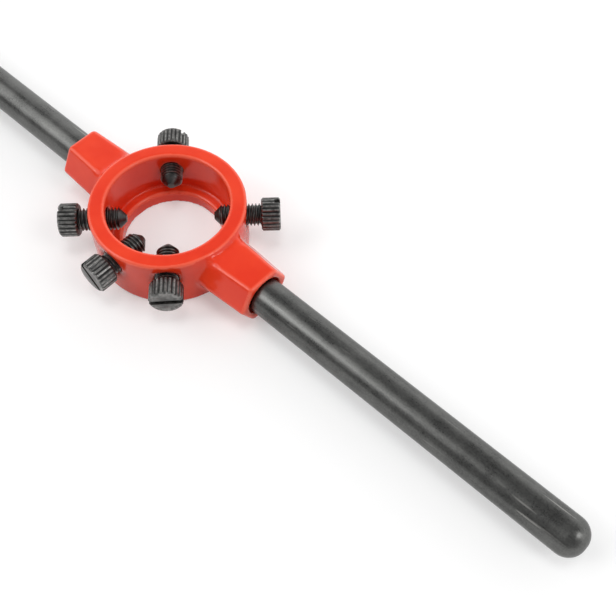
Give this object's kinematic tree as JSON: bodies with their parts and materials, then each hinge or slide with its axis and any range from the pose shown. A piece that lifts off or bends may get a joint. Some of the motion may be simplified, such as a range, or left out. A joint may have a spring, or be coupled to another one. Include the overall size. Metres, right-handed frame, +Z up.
{
  "type": "die stock handle",
  "caption": "Hand holder for a round threading die: a ring with a stepped seat and radial clamping screws, carried between straight round handles.",
  "frame": {"origin": "middle of the ring's underside, on the axis of the bore", "axes": "+Z up along the bore's axis, out of the die's seat; X along the handles; the spreading screw stands out along -Y"},
  "size_m": [0.307, 0.0592, 0.0185],
  "materials": {
    "red_paint": "gloss",
    "handle_oxide": "black oxide, semi-gloss",
    "screw_oxide": "black oxide, satin"
  },
  "bodies": {
    "stock": {"die_holder_body": "red_paint", "handle_right": "handle_oxide", "handle_left": "handle_oxide"},
    "spreading_screw": {"spreading_screw": "screw_oxide"},
    "closing_screw_right": {"closing_screw_right": "screw_oxide"},
    "closing_screw_left": {"closing_screw_left": "screw_oxide"},
    "holding_screw_right": {"holding_screw_right": "screw_oxide"},
    "holding_screw_left": {"holding_screw_left": "screw_oxide"}
  },
  "joints": [
    {"name": "spreading_screw_travel", "type": "slide", "parent": "stock", "child": "spreading_screw", "axis": [0, -1, 0], "range_m": [-0.0011, 0.0083]},
    {"name": "closing_screw_right_travel", "type": "slide", "parent": "stock", "child": "closing_screw_right", "axis": [0.7071, -0.7071, 0], "range_m": [-0.0012, 0.0082]},
    {"name": "closing_screw_left_travel", "type": "slide", "parent": "stock", "child": "closing_screw_left", "axis": [-0.7071, -0.7071, 0], "range_m": [-0.0032, 0.0062]},
    {"name": "holding_screw_right_travel", "type": "slide", "parent": "stock", "child": "holding_screw_right", "axis": [0.7071, 0.7071, 0], "range_m": [-0.0039, 0.0055]},
    {"name": "holding_screw_left_travel", "type": "slide", "parent": "stock", "child": "holding_screw_left", "axis": [-0.7071, 0.7071, 0], "range_m": [-0.0026, 0.0068]}
  ]
}
